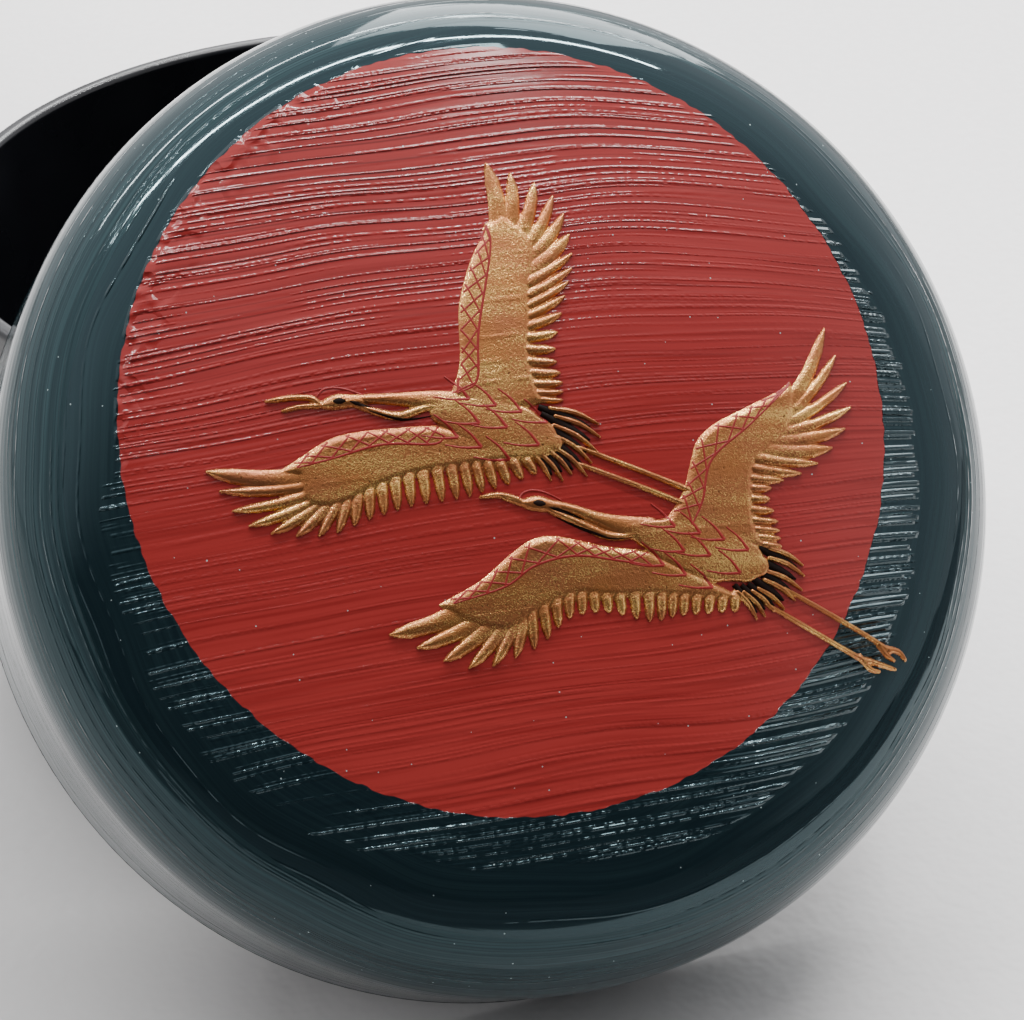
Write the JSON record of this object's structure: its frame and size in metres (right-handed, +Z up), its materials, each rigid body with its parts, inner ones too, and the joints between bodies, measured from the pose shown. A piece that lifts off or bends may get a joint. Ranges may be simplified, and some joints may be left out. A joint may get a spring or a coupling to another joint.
{
  "type": "lacquer tea caddy",
  "caption": "Round flat tea caddy, hollow body with a collar, domed lid leaning against it, raised flying cranes on the lid.",
  "frame": {"origin": "centre of the body's flat base, on the surface it stands on", "axes": "+Z up along the body's axis, -Y toward the side the lid leans on and faces, +X to the right seen from that side"},
  "size_m": [0.082, 0.1124, 0.073],
  "materials": {
    "lid": "gloss dark blue-green lacquer on turned wood, red disc and gold cranes on top, black inside",
    "body": "gloss dark blue-green lacquer on turned wood, black inside"
  },
  "bodies": {
    "root": {"lid": "lid", "body": "body"}
  },
  "joints": []
}
